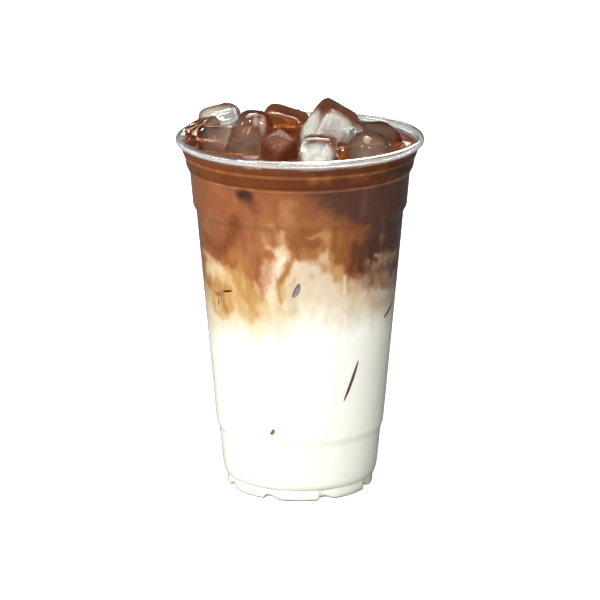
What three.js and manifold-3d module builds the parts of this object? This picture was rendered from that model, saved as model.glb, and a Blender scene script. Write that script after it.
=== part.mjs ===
// Iced latte in a clear takeaway cup: cup, milk, coffee and the ice cubes that stand out of the drink.
// Millimetres, +Z up, origin at the centre of the cup's foot on the table, photographed side towards -Y.
import * as THREE from 'three';
import { mergeVertices } from 'three/addons/utils/BufferGeometryUtils.js';
import Module from 'manifold-3d';

const wasm = await Module();
wasm.setup();

// driving dimensions of the cup
const rimRadius = 49;
const cupHeight = 142.9;
const wall = 0.6;
const fitGap = 0.3;
const curlRadius = 1.6;
const footRadius = 29.3;
const footTop = 4.5;
const pushUp = 3.4;
const lobes = 8;
const lobeSteps = 6;
const notchAngle = THREE.MathUtils.degToRad(20);
const notchRise = 1.9;
const notchDepth = 0.9;

// driving dimensions of the drink
const drinkLevel = 137.6;
const layerHeight = 86;
const layerRings = [14, 28, 41];

const segments = lobes * lobeSteps;

// outer face of the wall as radius and height, from the foot ring up to the neck under the rolled lip
const lowerStep = { radius: 33.65, height: 25.8, inset: 1.0, drop: 2.0 };
const upperStep = { radius: 42.4, height: 115.6, inset: 1.3, drop: 2.6 };
const lowShoulder = { radius: 44.95, height: 131.4, inset: 1.45, drop: 2.9 };
const highShoulder = { radius: 46.5, height: 137.1, inset: 1.25, drop: 3.3 };

const outerWall = [
  [footRadius - 0.9, 0],
  [footRadius, 0.35],
  [footRadius + 0.3, 3.6],
  [footRadius + 0.7, 4.9],
  [footRadius + 1.6, 7.2],
  [footRadius + 2.0, 9.8],
  [lowerStep.radius - lowerStep.inset, lowerStep.height - lowerStep.drop],
  [lowerStep.radius, lowerStep.height],
  [upperStep.radius - upperStep.inset, upperStep.height - upperStep.drop],
  [upperStep.radius, upperStep.height],
  [lowShoulder.radius - lowShoulder.inset, lowShoulder.height - lowShoulder.drop],
  [lowShoulder.radius, lowShoulder.height],
  [highShoulder.radius - highShoulder.inset, highShoulder.height - highShoulder.drop],
  [highShoulder.radius, highShoulder.height],
];

// a point of the wall moved inwards, square to the wall, by the given distance
function insetWall(distance) {
  return outerWall.map(([radius, height], i) => {
    const before = outerWall[Math.max(i - 1, 0)];
    const after = outerWall[Math.min(i + 1, outerWall.length - 1)];
    const along = new THREE.Vector2(after[0] - before[0], after[1] - before[1]).normalize();
    return [radius - along.y * distance, height + along.x * distance];
  });
}

function profile(points) {
  return points.map(([radius, height]) => new THREE.Vector2(radius, height));
}

// a bare solid of positions and faces only, as the boolean library wants it
function bare(geometry) {
  geometry.deleteAttribute('normal');
  geometry.deleteAttribute('uv');
  return mergeVertices(geometry, 1e-4);
}

function flipFaces(order) {
  for (let i = 0; i < order.length; i += 3) {
    [order[i], order[i + 1]] = [order[i + 1], order[i]];
  }
}

// presses the notches between the foot's lobes up and inwards
function lobeFoot(geometry) {
  const place = geometry.attributes.position;
  const point = new THREE.Vector3();
  for (let i = 0; i < place.count; i += 1) {
    point.fromBufferAttribute(place, i);
    const radius = Math.hypot(point.x, point.y);
    const low = THREE.MathUtils.clamp((footTop - point.z) / (footTop - 1.3), 0, 1);
    const outer = THREE.MathUtils.smoothstep(radius, footRadius - 3.2, footRadius - 1.6);
    const turn = (Math.atan2(point.x, -point.y) - notchAngle) / (2 * Math.PI) * lobes;
    const fromNotch = Math.abs(turn - Math.round(turn)) * lobeSteps;
    const notch = THREE.MathUtils.clamp(1 - fromNotch, 0, 1) * low * outer;
    const shrink = radius > 0 ? (radius - notchDepth * notch) / radius : 1;
    place.setXYZ(i, point.x * shrink, point.y * shrink, point.z + notchRise * notch);
  }
  return geometry;
}

// turns a profile about the cup's axis; segment edges fall on the notches of the foot. A solid that
// lies along the inner wall is given downwards, so that its slanted faces split as the wall's do
function turned(points, downwards = false) {
  const ordered = downwards ? [...points].reverse() : points;
  const geometry = new THREE.LatheGeometry(profile(ordered), segments, notchAngle, 2 * Math.PI);
  if (downwards) {
    flipFaces(geometry.index.array);
  }
  geometry.rotateX(Math.PI / 2);
  return bare(geometry);
}

function solid(geometry) {
  const vertProperties = new Float32Array(geometry.attributes.position.array);
  const triVerts = new Uint32Array(geometry.index.array);
  const mesh = new wasm.Mesh({ numProp: 3, vertProperties, triVerts });
  mesh.merge();
  return new wasm.Manifold(mesh);
}

function geometryOf(manifold) {
  const mesh = manifold.getMesh();
  const geometry = new THREE.BufferGeometry();
  geometry.setAttribute('position', new THREE.BufferAttribute(new Float32Array(mesh.vertProperties), 3));
  geometry.setIndex(new THREE.BufferAttribute(new Uint32Array(mesh.triVerts), 1));
  return geometry;
}

// an arc of the rolled lip, from one angle to another in degrees, 0 pointing away from the axis
function curlArc(radius, from, to, steps) {
  const centre = [rimRadius - curlRadius, cupHeight - curlRadius];
  return Array.from({ length: steps + 1 }, (_, i) => {
    const angle = THREE.MathUtils.degToRad(from + (to - from) * i / steps);
    return [centre[0] + radius * Math.cos(angle), centre[1] + radius * Math.sin(angle)];
  });
}

function cupGeometry() {
  const under = [
    [0, pushUp],
    [footRadius - 6.3, pushUp],
    [footRadius - 3.2, 0.9],
    [footRadius - 2.2, 0],
  ];
  const curl = [
    ...curlArc(curlRadius - wall, 180, -115, 7),
    ...curlArc(curlRadius, -115, 180, 10),
  ];
  const inner = insetWall(wall).reverse();
  const floor = [
    [footRadius - 2.2, wall],
    [footRadius - 3.2 - 0.2, 0.9 + wall],
    [footRadius - 6.3 - 0.3, pushUp + wall],
    [0, pushUp + wall],
  ];
  return lobeFoot(turned([...under, ...outerWall, ...curl, ...inner, ...floor]));
}

// the whole drink, a fit gap inside the cup
function drinkSolid() {
  const inset = wall + fitGap;
  const side = insetWall(inset).filter(([, height]) => height < drinkLevel - 0.1);
  const bottom = [
    [0, pushUp + inset],
    [footRadius - 6.3 - 0.45, pushUp + inset],
    [footRadius - 3.2 - 0.3, 0.9 + inset],
    [footRadius - 2.2, inset],
  ];
  const last = side[side.length - 1];
  const top = [[last[0], drinkLevel], [0, drinkLevel]];
  return solid(lobeFoot(turned([...bottom, ...side, ...top], true)));
}

// height of the border between milk and coffee: coffee hangs low at the left, milk rises right of the middle
function layerAt(x, y) {
  const radius = Math.hypot(x, y) / 40;
  const turn = Math.atan2(x, -y);
  const sides = -7 * Math.cos(2 * (turn - 0.22) + Math.PI);
  const fingers = 2.5 * Math.cos(5 * turn + 1.1) + 1.6 * Math.cos(8 * turn - 0.6);
  return layerHeight + Math.min(radius, 1) * (sides + fingers - 4 * Math.sin(turn));
}

// a block that reaches from the wavy border, raised by the given amount, to well above the cup
function aboveLayer(raise) {
  const reach = 60;
  const disc = [...layerRings, reach].map((radius) => [radius, 0]);
  const points = [[0, 0], ...disc, [reach, 1], [0, 1]];
  const geometry = turned(points);
  const place = geometry.attributes.position;
  for (let i = 0; i < place.count; i += 1) {
    const x = place.getX(i);
    const y = place.getY(i);
    const top = place.getZ(i) > 0.5;
    place.setZ(i, top ? cupHeight + 40 : layerAt(x, y) + raise);
  }
  return solid(geometry);
}

// ice cubes: centre, width x depth x height, how squarely they keep their corners, how much narrower
// the top is, and how deep each face is hollowed; spin is about the cube's own height, lean is to the
// right and tip is the top towards the front, all in degrees
const iceCubes = [
  { name: 'ice_tall', at: [11.8, 3.5, 142.2], size: [19, 19, 25.5], spin: 12, lean: 34, tip: 4,
    square: 5, taper: 0.02, hollow: { top: 0.08, front: 0.14 } },
  { name: 'ice_frosted', at: [-19.0, -3.5, 140.6], size: [18.5, 17, 25], spin: 10, lean: 11, tip: -6,
    square: 3.6, taper: 0.24, hollow: { front: 0.05 } },
  { name: 'ice_cloudy', at: [7.1, -24.5, 137.6], size: [15, 15, 21], spin: -6, lean: 3, tip: -6,
    square: 5, taper: 0.05, hollow: { front: 0.06 } },
  { name: 'ice_dome', at: [26.8, -15.6, 136.4], size: [18.5, 18.5, 21.5], spin: 30, lean: -4, tip: -8,
    square: 2.6, taper: 0.08, hollow: {} },
  { name: 'ice_pointed', at: [-8.0, -20.5, 138.4], size: [11.2, 11.2, 20.5], spin: 45, lean: 0, tip: 34,
    square: 9, taper: 0, hollow: {} },
  { name: 'ice_left_flat', at: [-31.5, -1.5, 138.6], size: [18, 15, 18], spin: -12, lean: 2, tip: -16,
    square: 5, taper: 0.03, hollow: { front: 0.04, top: 0.05 } },
  { name: 'ice_back', at: [-7.0, 28.5, 137.2], size: [20, 17, 20], spin: -6, lean: 15, tip: 6,
    square: 5, taper: 0.03, hollow: { front: 0.08 } },
  { name: 'ice_right', at: [30.2, 12.4, 135.2], size: [17.5, 18, 19], spin: 28, lean: 7, tip: 6,
    square: 4.5, taper: 0.04, hollow: { top: 0.06 } },
  { name: 'ice_back_left', at: [-31.4, 18.5, 142.9], size: [17, 14, 17], spin: 24, lean: -10, tip: 6,
    square: 3.6, taper: 0.04, hollow: { front: 0.1, top: 0.08 } },
  { name: 'ice_left_bar', at: [-40, 7, 142.2], size: [20, 9, 10], spin: 44, lean: -20, tip: 0,
    square: 4, taper: 0, hollow: { top: 0.08 } },
  { name: 'ice_chip', at: [15.8, -25, 138.5], size: [5.5, 7, 11], spin: 12, lean: 4, tip: -6,
    square: 4, taper: 0.1, hollow: {} },
];
const iceDivisions = 5;

const hollowAxes = { top: ['z', 1, 'x', 'y'], front: ['y', -1, 'x', 'z'] };

// a cube with melted edges, hollowed faces and slightly uneven sides, grown all round by the given amount
function iceGeometry(cube, grow = 0) {
  const geometry = bare(new THREE.BoxGeometry(2, 2, 2, iceDivisions, iceDivisions, iceDivisions));
  const place = geometry.attributes.position;
  const p = new THREE.Vector3();
  const wave = cube.at[0] * 0.7 + cube.at[1] * 0.3;
  for (let i = 0; i < place.count; i += 1) {
    p.fromBufferAttribute(place, i);
    const spread = Math.abs(p.x) ** cube.square + Math.abs(p.y) ** cube.square + Math.abs(p.z) ** cube.square;
    p.multiplyScalar(spread ** (-1 / cube.square));
    for (const [face, depth] of Object.entries(cube.hollow)) {
      const [axis, sign, across, along] = hollowAxes[face];
      const facing = THREE.MathUtils.smoothstep(sign * p[axis], 0.3, 0.95);
      p[axis] -= sign * 2 * depth * facing * (1 - p[across] ** 2) * (1 - p[along] ** 2);
    }
    const narrow = 1 - cube.taper * p.z;
    const uneven = 1 + 0.025 * Math.sin(2.3 * p.x + wave) * Math.cos(1.9 * p.z - wave) * Math.cos(1.7 * p.y);
    p.set(
      p.x * narrow * uneven * (cube.size[0] / 2 + grow),
      p.y * narrow * uneven * (cube.size[1] / 2 + grow),
      p.z * uneven * (cube.size[2] / 2 + grow),
    );
    place.setXYZ(i, p.x, p.y, p.z);
  }
  const turns = [cube.tip, cube.lean, cube.spin].map(THREE.MathUtils.degToRad);
  const pose = new THREE.Matrix4().makeRotationFromEuler(new THREE.Euler(...turns, 'XYZ'));
  pose.setPosition(...cube.at);
  geometry.applyMatrix4(pose);
  return geometry;
}

// the room inside the cup that ice may take, a fit gap off the wall and open upwards
function iceRoom() {
  const side = insetWall(wall + fitGap).filter(([, height]) => height > footTop + 1);
  const first = side[0];
  const neck = rimRadius - 2 * curlRadius - fitGap;
  const top = [[neck, cupHeight - 2 * curlRadius], [neck, cupHeight + 40], [0, cupHeight + 40]];
  return solid(turned([[0, first[1]], ...side, ...top]));
}

// each cube keeps clear of the wall and of the cubes listed before it
function makeIce() {
  const room = iceRoom();
  const made = [];
  for (const cube of iceCubes) {
    let body = solid(iceGeometry(cube)).intersect(room);
    for (const other of made) {
      body = body.subtract(solid(iceGeometry(other.cube, fitGap)));
    }
    made.push({ cube, body });
  }
  return made;
}

function makeLayers() {
  const drink = drinkSolid();
  let coffee = drink.intersect(aboveLayer(fitGap / 2));
  const milk = drink.subtract(aboveLayer(-fitGap / 2));
  for (const cube of iceCubes) {
    coffee = coffee.subtract(solid(iceGeometry(cube, fitGap)));
  }
  return { coffee, milk };
}

const materials = {
  clearPlastic: new THREE.MeshStandardMaterial({
    color: 0xf4f6f5, roughness: 0.06, metalness: 0, transparent: true, opacity: 0.3,
  }),
  milk: new THREE.MeshStandardMaterial({ color: 0xf4f0e6, roughness: 0.35, metalness: 0 }),
  coffee: new THREE.MeshStandardMaterial({ color: 0x7a4630, roughness: 0.2, metalness: 0 }),
  ice: new THREE.MeshStandardMaterial({
    color: 0xdfe4e2, roughness: 0.08, metalness: 0, transparent: true, opacity: 0.6,
  }),
};

const latte = new THREE.Group();

function add(name, geometry, material) {
  const mesh = new THREE.Mesh(geometry, material);
  mesh.name = name;
  latte.add(mesh);
}

const layers = makeLayers();
add('cup', cupGeometry(), materials.clearPlastic);
add('milk', geometryOf(layers.milk), materials.milk);
add('coffee', geometryOf(layers.coffee), materials.coffee);
for (const { cube, body } of makeIce()) {
  add(cube.name, geometryOf(body), materials.ice);
}

export default latte;
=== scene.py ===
import math
import bpy
import numpy as np
from mathutils import Matrix, Vector
from mathutils.bvhtree import BVHTree


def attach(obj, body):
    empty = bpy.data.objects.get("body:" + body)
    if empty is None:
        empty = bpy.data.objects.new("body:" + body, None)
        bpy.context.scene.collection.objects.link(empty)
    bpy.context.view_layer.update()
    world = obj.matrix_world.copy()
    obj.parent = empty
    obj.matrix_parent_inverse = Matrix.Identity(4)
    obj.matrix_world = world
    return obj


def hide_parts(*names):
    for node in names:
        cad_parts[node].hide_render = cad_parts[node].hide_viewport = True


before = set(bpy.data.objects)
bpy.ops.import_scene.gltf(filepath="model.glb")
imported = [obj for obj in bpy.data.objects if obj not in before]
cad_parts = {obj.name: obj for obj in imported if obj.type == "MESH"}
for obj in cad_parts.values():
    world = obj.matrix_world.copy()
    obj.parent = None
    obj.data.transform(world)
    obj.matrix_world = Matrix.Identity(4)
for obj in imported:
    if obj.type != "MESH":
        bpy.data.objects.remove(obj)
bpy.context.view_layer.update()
scene = bpy.context.scene
mm = 0.001

# Iced latte in a clear takeaway cup. Shapes are worked out in millimetres and built in metres.
cup = {
    "rimRadius": 49.0,
    "height": 142.9,
    "wall": 0.6,
    "curlRadius": 1.6,
    "curlEnds": (180, -115),    # degrees round the curl, from level outwards, at the wall and near its tip
    "curlTip": -125,
    "curlSteps": (20, 26),      # inside and outside
    "paintedLightUpTo": 31,            # the curl is painted partly matt white from its tip up to here, a painted highlight for the light it catches, and clear on top
    "footRadius": 29.3,
    "footTop": 4.5,
    "pushUp": 3.4,
    "dishIn": 6.3,              # mm in from the foot's edge to where the bottom is pushed up
    "ringIn": 3.2,
    "ringRise": 0.9,
    "heelIn": 2.2,
    "heelRise": 0.05,
    "treadIn": 1.5,
    "footRounding": 0.8,
    "lobes": 8,
    "lobeBand": (3.2, 1.6),     # mm in from the foot's edge over which the notches grow to full depth
    "notchAngle": 20.0,
    "notchRise": 1.7,
    "notchDepth": 0.8,
    "notchStart": -5.2,         # degrees from the notch's middle to its steep side
    "notchSteep": 1.4,          # degrees over which it falls there
    "notchEnd": 10.0,           # degrees to where its gentle side is back out
    "notchTop": 0.4,            # mm under the foot's top where the rise ends
    "notchFade": (0.5, -0.3),   # mm from the foot's top over which the press inwards ends
    "segments": 256,
    "cornerReach": 0.45,
    "sharpFrom": 50,            # edges steeper than this many degrees stay sharp
}
outerWall = [
    (28.4, 0), (29.3, 0.35), (29.5, 3.6), (29.5, 4.7), (30.3, 5.1), (31.0, 7.2), (31.35, 9.8),
    (32.62, 23.2), (33.65, 26.2),       # low step
    (41.1, 113.0), (42.4, 115.6),       # high step
    (43.5, 128.5), (44.95, 131.4),      # low shoulder
    (45.25, 133.8), (46.5, 137.1),      # high shoulder
]


# seeded gradient noise for swirls, melt and dents
def latticeGradient(cell, seed):
    key = (cell * np.array([374761393, 668265263, 2246822519])).sum(-1) + seed * 3266489917
    key = key.astype(np.uint64) & np.uint64(0xFFFFFFFF)
    for shift, factor in ((15, 2654435761), (13, 1274126177)):
        key = ((key ^ (key >> np.uint64(shift))) * np.uint64(factor)) & np.uint64(0xFFFFFFFF)
    turn = (key & np.uint64(0xFFFF)).astype(float) / 65536 * 2 * np.pi
    up = ((key >> np.uint64(16)) & np.uint64(0xFFFF)).astype(float) / 32768 - 1
    flat = np.sqrt(np.maximum(1 - up * up, 0))
    return np.stack([flat * np.cos(turn), flat * np.sin(turn), up], -1)


def noiseAt(points, seed):
    cell = np.floor(points).astype(np.int64)
    part = points - cell
    fade = part ** 3 * (part * (part * 6 - 15) + 10)
    total = np.zeros(len(points))
    for corner in np.ndindex(2, 2, 2):
        share = np.prod(np.where(corner, fade, 1 - fade), axis=-1)
        slope = latticeGradient(cell + np.array(corner), seed)
        total += share * (slope * (part - corner)).sum(-1)
    return total * 1.6


def fractalAt(points, seed, octaves=3):
    total = sum(noiseAt(points * 2 ** k, seed + k) / 2 ** k for k in range(octaves))
    return total / (2 - 2 ** (1 - octaves))


def smoothStep(low, high, value):
    t = np.clip((value - low) / (high - low), 0, 1)
    return t * t * (3 - 2 * t)


# outlines
def roundedLine(points, reach, steps=4):
    line = [points[0]]
    for before, here, after in zip(points, points[1:], points[2:]):
        corner = Vector(here)
        back, ahead = Vector(before) - corner, Vector(after) - corner
        cut = min(reach, back.length * 0.45, ahead.length * 0.45)
        start, end = corner + back.normalized() * cut, corner + ahead.normalized() * cut
        for k in range(steps + 1):
            t = k / steps
            line.append(tuple(start * (1 - t) ** 2 + corner * 2 * t * (1 - t) + end * t * t))
    line.append(points[-1])
    return line


def insetLine(points, distance):
    line = np.array(points, float)
    along = np.gradient(line, axis=0)
    along /= np.linalg.norm(along, axis=1, keepdims=True)
    return line + distance * np.stack([-along[:, 1], along[:, 0]], -1)


fineWall = roundedLine(outerWall, cup["cornerReach"])


def wallRadiusAt(height, inset):
    line = insetLine(fineWall, inset)
    return np.interp(height, line[:, 1], line[:, 0])


# presses the notches between the foot's lobes up and inwards
def lobeFoot(points):
    radius, height = np.hypot(points[:, 0], points[:, 1]), points[:, 2]
    bandStart, bandEnd = (cup["footRadius"] - distance for distance in cup["lobeBand"])
    outer = smoothStep(bandStart, bandEnd, radius)
    pitch = 360 / cup["lobes"]
    angle = np.degrees(np.arctan2(points[:, 0], -points[:, 1])) - cup["notchAngle"]
    off = angle - pitch * np.round(angle / pitch)
    steep = smoothStep(cup["notchStart"], cup["notchStart"] + cup["notchSteep"], off)
    notch = steep * smoothStep(cup["notchEnd"], 0, off) * outer
    fadeStart, fadeEnd = (cup["footTop"] + distance for distance in cup["notchFade"])
    inwards = cup["notchDepth"] * notch * smoothStep(fadeStart, fadeEnd, height)
    share = np.clip((cup["footTop"] - cup["notchTop"] - height) / cup["footTop"], 0, 1)
    raised = cup["notchRise"] * notch * share
    shrink = 1 - inwards / np.maximum(radius, 1e-6)
    return np.stack([points[:, 0] * shrink, points[:, 1] * shrink, height + raised], -1)


# the bottom's upper side, from the axis outwards, for what lies a given height above its underside
def footFloor(lift, dishSpread, ringSpread=0.2):
    foot = cup["footRadius"]
    return [(0, cup["pushUp"] + lift), (foot - cup["dishIn"] - dishSpread, cup["pushUp"] + lift),
            (foot - cup["ringIn"] - ringSpread, cup["ringRise"] + lift), (foot - cup["heelIn"], lift)]


# meshes
def makePiece(name, points, faces):
    mesh = bpy.data.meshes.new(name)
    mesh.from_pydata((np.asarray(points) * mm).tolist(), [], faces)
    mesh.update()
    piece = bpy.data.objects.new(name, mesh)
    scene.collection.objects.link(piece)
    return piece


def meshPoints(piece):
    flat = np.zeros(len(piece.data.vertices) * 3, np.float32)
    piece.data.vertices.foreach_get("co", flat)
    return flat.reshape(-1, 3).astype(float) / mm


def meshNormals(piece):
    flat = np.zeros(len(piece.data.vertices) * 3, np.float32)
    piece.data.vertices.foreach_get("normal", flat)
    return flat.reshape(-1, 3).astype(float)


def movePoints(piece, points):
    piece.data.vertices.foreach_set("co", (points * mm).astype(np.float32).ravel())
    piece.data.update()


def roundAxis(radius, turn, height):
    # a point at a distance from the axis, turned to the right of the front by an angle in radians
    return radius * math.sin(turn), -radius * math.cos(turn), height


def turnedPiece(name, profile, segments, startAngle=0.0):
    # turns an outline that runs from the axis to the axis, anticlockwise seen from +Y
    angle = math.radians(startAngle) + 2 * np.pi * np.arange(segments) / segments
    points, rings = [], []
    for radius, height in profile:
        first = len(points)
        if radius < 1e-6:
            points.append((0, 0, height))
            rings.append([first] * segments)
        else:
            points += [roundAxis(radius, a, height) for a in angle]
            rings.append(list(range(first, first + segments)))
    faces = []
    for lower, upper in zip(rings, rings[1:]):
        for j in range(segments):
            k = (j + 1) % segments
            corners = [lower[j], lower[k], upper[k], upper[j]]
            faces.append([v for i, v in enumerate(corners) if v not in corners[:i]])
    return makePiece(name, np.array(points, float), faces)


def applied(piece):
    # the piece's mesh with its modifiers worked in
    mesh = bpy.data.meshes.new_from_object(piece.evaluated_get(bpy.context.evaluated_depsgraph_get()))
    piece.modifiers.clear()
    old, piece.data = piece.data, mesh
    bpy.data.meshes.remove(old)
    return piece


def joinOrCut(piece, other, operation):
    cut = piece.modifiers.new("cut", "BOOLEAN")
    cut.operation = operation
    cut.solver = "MANIFOLD"
    cut.object = other
    return applied(piece)


def discard(piece):
    mesh = piece.data
    bpy.data.objects.remove(piece)
    bpy.data.meshes.remove(mesh)


def dress(piece, *materials):
    piece.data.materials.clear()
    for material in materials:
        piece.data.materials.append(material)


def smoothPiece(piece, angle=180):
    piece.data.shade_smooth()
    if angle < 180:
        piece.data.set_sharp_from_angle(angle=math.radians(angle))


def finishPiece(piece, slot, *replaced):
    if replaced:
        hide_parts(*replaced)
    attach(piece, "root")
    return piece


# colours as they are seen, turned into the linear values that shaders use
def paint(text, alpha=1.0):
    seen = [int(text[i:i + 2], 16) / 255 for i in (1, 3, 5)]
    return (*[c / 12.92 if c <= 0.04045 else ((c + 0.055) / 1.055) ** 2.4 for c in seen], alpha)


def newMaterial(name):
    material = bpy.data.materials.new(name)
    material.use_nodes = True
    material.node_tree.nodes.clear()
    return material


def addNode(tree, kind, **values):
    node = tree.nodes.new(kind)
    for key, value in values.items():
        if hasattr(node, key):
            setattr(node, key, value)
        else:
            node.inputs[key.replace("_", " ")].default_value = value
    return node


def link(tree, source, target):
    tree.links.new(source, target)


def rampOf(tree, stops):
    ramp = addNode(tree, "ShaderNodeValToRGB").color_ramp
    ramp.interpolation = "LINEAR"
    while len(ramp.elements) < len(stops):
        ramp.elements.new(0.5)
    for element, (place, tone) in zip(ramp.elements, stops):
        element.position = place
        element.color = paint(tone)
    return tree.nodes[-1]


# shader groups that more than one material uses
def wetSkinGroup():
    # roughness and relief of a wet, slightly uneven surface
    group = bpy.data.node_groups.new("wet skin", "ShaderNodeTree")
    for name, value in (("Scale", 120.0), ("Smooth", 0.02), ("Dull", 0.1), ("Fine Scale", 900.0)):
        socket = group.interface.new_socket(name, in_out="INPUT", socket_type="NodeSocketFloat")
        socket.default_value = value
    for name in ("Roughness", "Height"):
        group.interface.new_socket(name, in_out="OUTPUT", socket_type="NodeSocketFloat")
    enter = addNode(group, "NodeGroupInput")
    leave = addNode(group, "NodeGroupOutput")
    place = addNode(group, "ShaderNodeTexCoord")
    broad = addNode(group, "ShaderNodeTexNoise", Detail=3.0, Roughness=0.55)
    fine = addNode(group, "ShaderNodeTexNoise", Detail=2.0, Roughness=0.5)
    for noise, scale in ((broad, "Scale"), (fine, "Fine Scale")):
        link(group, place.outputs["Object"], noise.inputs["Vector"])
        link(group, enter.outputs[scale], noise.inputs["Scale"])
    spread = addNode(group, "ShaderNodeMapRange", interpolation_type="SMOOTHSTEP")
    spread.inputs["From Min"].default_value = 0.42
    spread.inputs["From Max"].default_value = 0.68
    link(group, broad.outputs["Fac"], spread.inputs["Value"])
    link(group, enter.outputs["Smooth"], spread.inputs["To Min"])
    link(group, enter.outputs["Dull"], spread.inputs["To Max"])
    link(group, spread.outputs["Result"], leave.inputs["Roughness"])
    part = addNode(group, "ShaderNodeMath", operation="MULTIPLY")
    part.inputs[1].default_value = 0.18
    link(group, fine.outputs["Fac"], part.inputs[0])
    both = addNode(group, "ShaderNodeMath", operation="ADD")
    link(group, broad.outputs["Fac"], both.inputs[0])
    link(group, part.outputs[0], both.inputs[1])
    link(group, both.outputs[0], leave.inputs["Height"])
    return group


wetSkin = wetSkinGroup()


def glassMaterial(name, looks):
    # clear stuff that lets lamps and scattered light straight through
    material = newMaterial(name)
    tree = material.node_tree
    skin = addNode(tree, "ShaderNodeGroup", node_tree=wetSkin)
    for key in ("Scale", "Smooth", "Dull", "Fine Scale"):
        skin.inputs[key].default_value = looks[key]
    tint = addNode(tree, "ShaderNodeMix", data_type="RGBA")
    tint.inputs["A"].default_value = paint(looks["tint"])
    tint.inputs["B"].default_value = paint(looks["deepTint"])
    link(tree, skin.outputs["Height"], tint.inputs["Factor"])
    bump = addNode(tree, "ShaderNodeBump", Distance=looks["relief"] * mm)
    bump.inputs["Strength"].default_value = looks["reliefStrength"]
    link(tree, skin.outputs["Height"], bump.inputs["Height"])
    glass = addNode(tree, "ShaderNodeBsdfPrincipled", IOR=looks["bend"])
    glass.inputs["Transmission Weight"].default_value = looks["through"]
    glass.inputs["Specular IOR Level"].default_value = looks["gloss"]
    link(tree, tint.outputs["Result"], glass.inputs["Base Color"])
    link(tree, skin.outputs["Roughness"], glass.inputs["Roughness"])
    link(tree, bump.outputs["Normal"], glass.inputs["Normal"])
    clear = addNode(tree, "ShaderNodeBsdfTransparent")
    clear.inputs["Color"].default_value = paint(looks["shadow"])
    path = addNode(tree, "ShaderNodeLightPath")
    scattered = addNode(tree, "ShaderNodeMixShader")
    link(tree, path.outputs["Is Diffuse Ray"], scattered.inputs[0])
    link(tree, glass.outputs[0], scattered.inputs[1])
    link(tree, clear.outputs[0], scattered.inputs[2])
    lamps = addNode(tree, "ShaderNodeMixShader")
    link(tree, path.outputs["Is Shadow Ray"], lamps.inputs[0])
    link(tree, scattered.outputs[0], lamps.inputs[1])
    link(tree, clear.outputs[0], lamps.inputs[2])
    out = addNode(tree, "ShaderNodeOutputMaterial")
    link(tree, lamps.outputs[0], out.inputs["Surface"])
    return material


# Cup
plasticLooks = {
    "tint": "#fdfefd", "deepTint": "#f8faf9", "shadow": "#fcfdfc",
    "Scale": 40.0, "Smooth": 0.015, "Dull": 0.06, "Fine Scale": 300.0,
    "relief": 0.05, "reliefStrength": 0.15, "bend": 1.5, "gloss": 0.2,
    "through": 1.0,
}
# the lip's matt white share is a painted highlight, standing in for light caught in the clear curl
lipLooks = {**plasticLooks, "Dull": 0.03, "gloss": 0.9, "through": 0.84}


def curlArc(radius, fromAngle, toAngle, steps):
    centre = (cup["rimRadius"] - cup["curlRadius"], cup["height"] - cup["curlRadius"])
    angles = np.radians(np.linspace(fromAngle, toAngle, steps + 1))
    return [(centre[0] + radius * math.cos(a), centre[1] + radius * math.sin(a)) for a in angles]


def makeCup():
    wall, curl, foot, push = (cup[key] for key in ("wall", "curlRadius", "footRadius", "pushUp"))
    under = [(0, push), (foot - cup["dishIn"], push), (foot - cup["ringIn"], cup["ringRise"]),
             (foot - cup["heelIn"], cup["heelRise"]), (foot - cup["treadIn"], 0)]
    floor = footFloor(wall, 0.3)[::-1]
    atWall, atEdge = cup["curlEnds"]
    tip = cup["curlTip"]
    insideSteps, outsideSteps = cup["curlSteps"]
    lip = curlArc(curl - wall, atWall, atEdge, insideSteps) + curlArc(curl - wall / 2, tip, tip, 0)
    lip += curlArc(curl, atEdge, atWall, outsideSteps)
    inner = [tuple(p) for p in insetLine(fineWall, wall)[::-1]]
    inner = [p for p in inner if p[1] > wall + 0.1]
    rounding = cup["footRounding"]
    outline = roundedLine(under, rounding)[:-1] + fineWall + lip + inner + roundedLine(floor, rounding)
    piece = turnedPiece("clearCup", outline, cup["segments"], cup["notchAngle"])
    movePoints(piece, lobeFoot(meshPoints(piece)))
    smoothPiece(piece, cup["sharpFrom"])
    dress(piece, glassMaterial("clear plastic", plasticLooks), glassMaterial("clear lip", lipLooks))
    centres = np.array([face.center for face in piece.data.polygons]) / mm
    outward = np.hypot(centres[:, 0], centres[:, 1]) - cup["rimRadius"] + curl
    upward = centres[:, 2] - cup["height"] + curl
    turn = np.degrees(np.arctan2(upward, outward))
    # faces of the curl that get the lip's painted highlight
    white = (np.hypot(outward, upward) < curl + 0.1) & (turn > tip) & (turn < cup["paintedLightUpTo"])
    piece.data.polygons.foreach_set("material_index", white.astype(np.int32))
    print("cup made:", len(piece.data.vertices), "points")
    return finishPiece(piece, "clear_plastic", "cup")


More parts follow.
